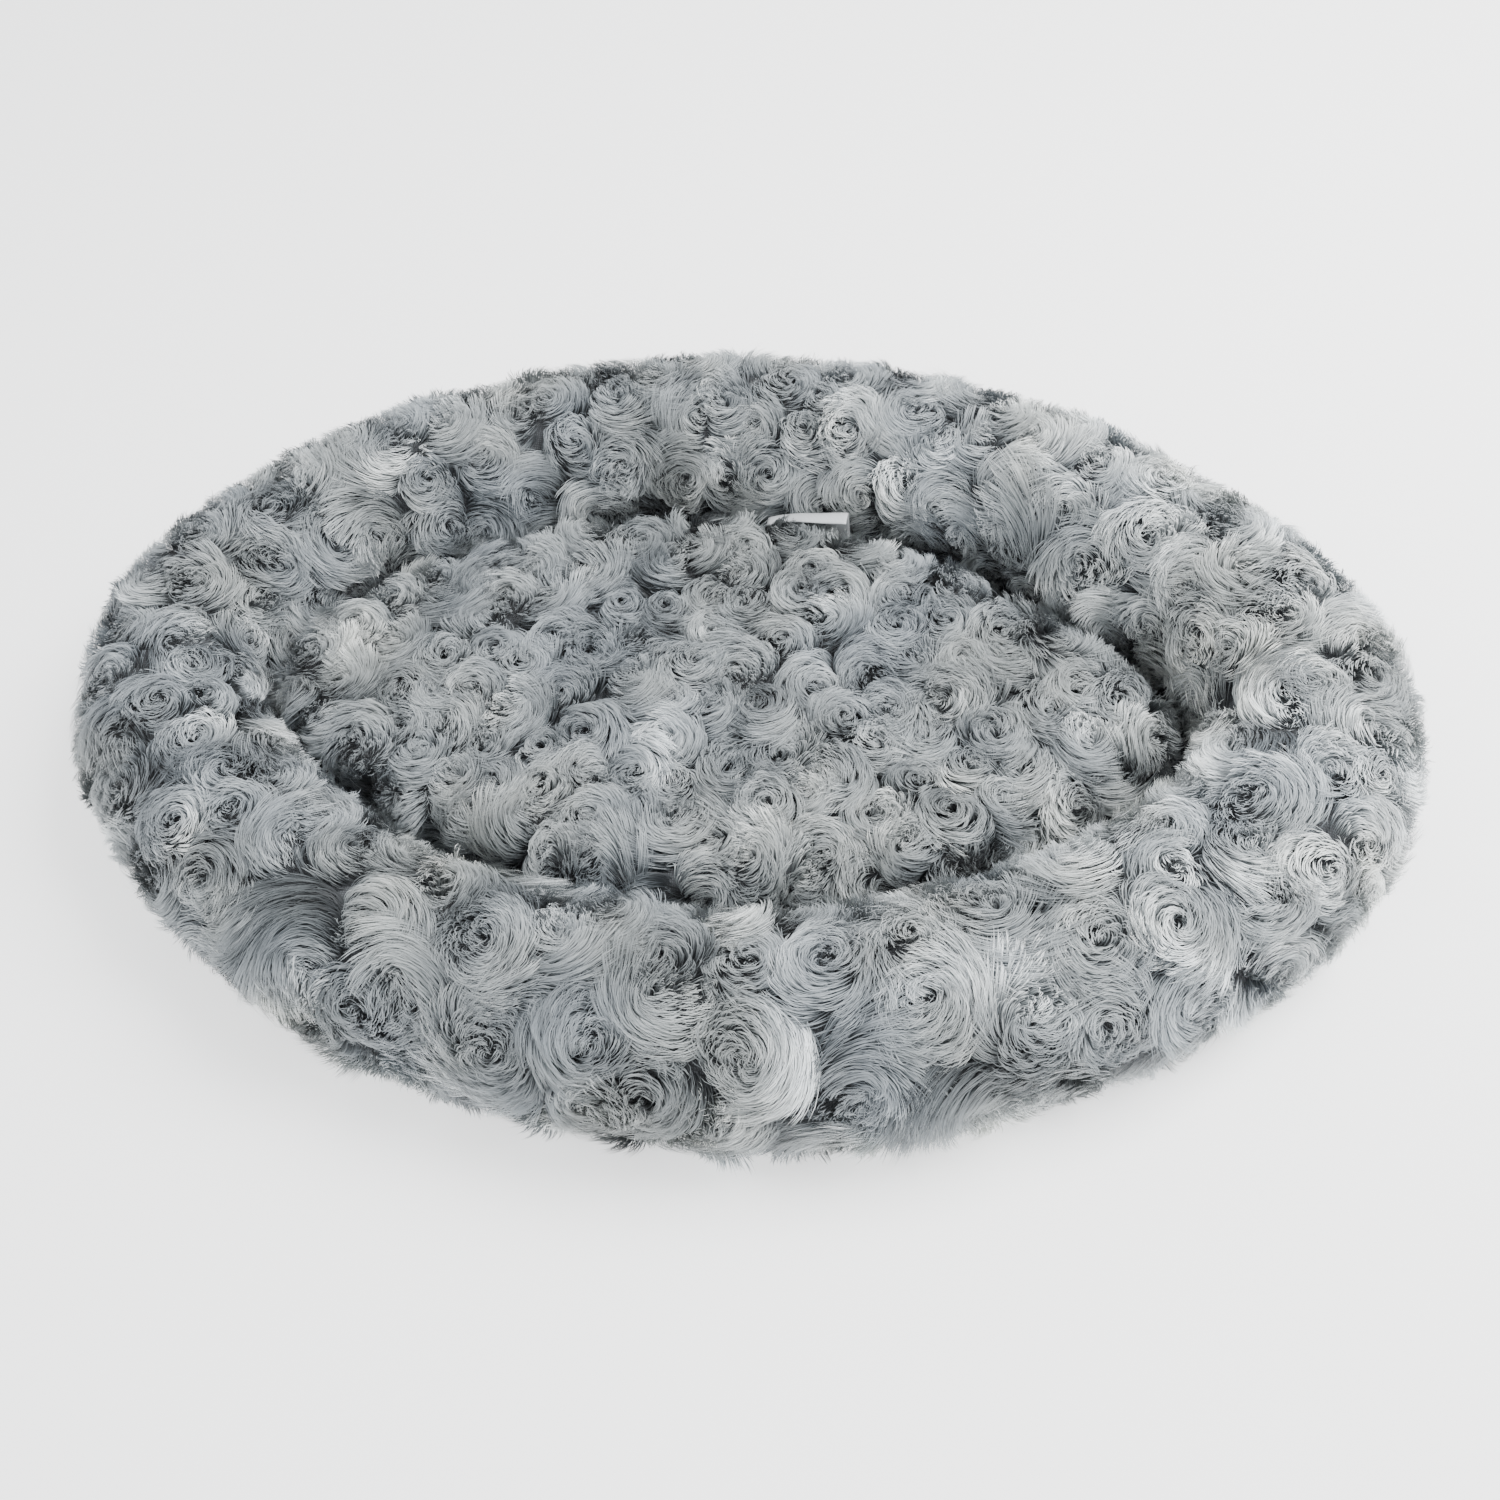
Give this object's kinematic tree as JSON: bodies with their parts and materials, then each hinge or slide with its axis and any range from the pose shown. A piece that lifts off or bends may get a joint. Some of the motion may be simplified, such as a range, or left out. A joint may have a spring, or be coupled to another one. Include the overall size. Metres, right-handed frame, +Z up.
{
  "type": "pet cushion bed",
  "caption": "Oval pet bed in rosette plush: a stuffed bolster ring on a base panel, with a loose plush cushion in its well.",
  "frame": {"origin": "middle of the bed, at floor level", "axes": "+X along the bed's length to its right end, +Y to the back where the care label is, +Z up"},
  "size_m": [0.6998, 0.47, 0.09],
  "materials": {
    "base_fabric": "matte woven polyester with raised non-slip dots",
    "rosette_plush": "frosted silver-grey rosette faux fur",
    "polyester_fibre": "matte fibre filling",
    "binding_tape": "matte woven tape",
    "underside_fabric": "matte woven polyester",
    "label_satin": "satin ribbon"
  },
  "bodies": {
    "bolster_and_base": {"base_panel": "base_fabric", "bolster_plush_cover": "rosette_plush", "bolster_fibre_fill": "polyester_fibre", "cover_join_binding": "binding_tape", "outer_seam_binding": "binding_tape", "well_seam_binding": "binding_tape"},
    "cushion": {"cushion_plush_cover": "rosette_plush", "cushion_underside_panel": "underside_fabric", "cushion_fibre_fill": "polyester_fibre", "cushion_seam_binding": "binding_tape", "care_label": "label_satin"}
  },
  "joints": [
    {"name": "cushion_lift", "type": "slide", "parent": "bolster_and_base", "child": "cushion", "axis": [0, 0, 1], "range_m": [0, 0.2]}
  ]
}
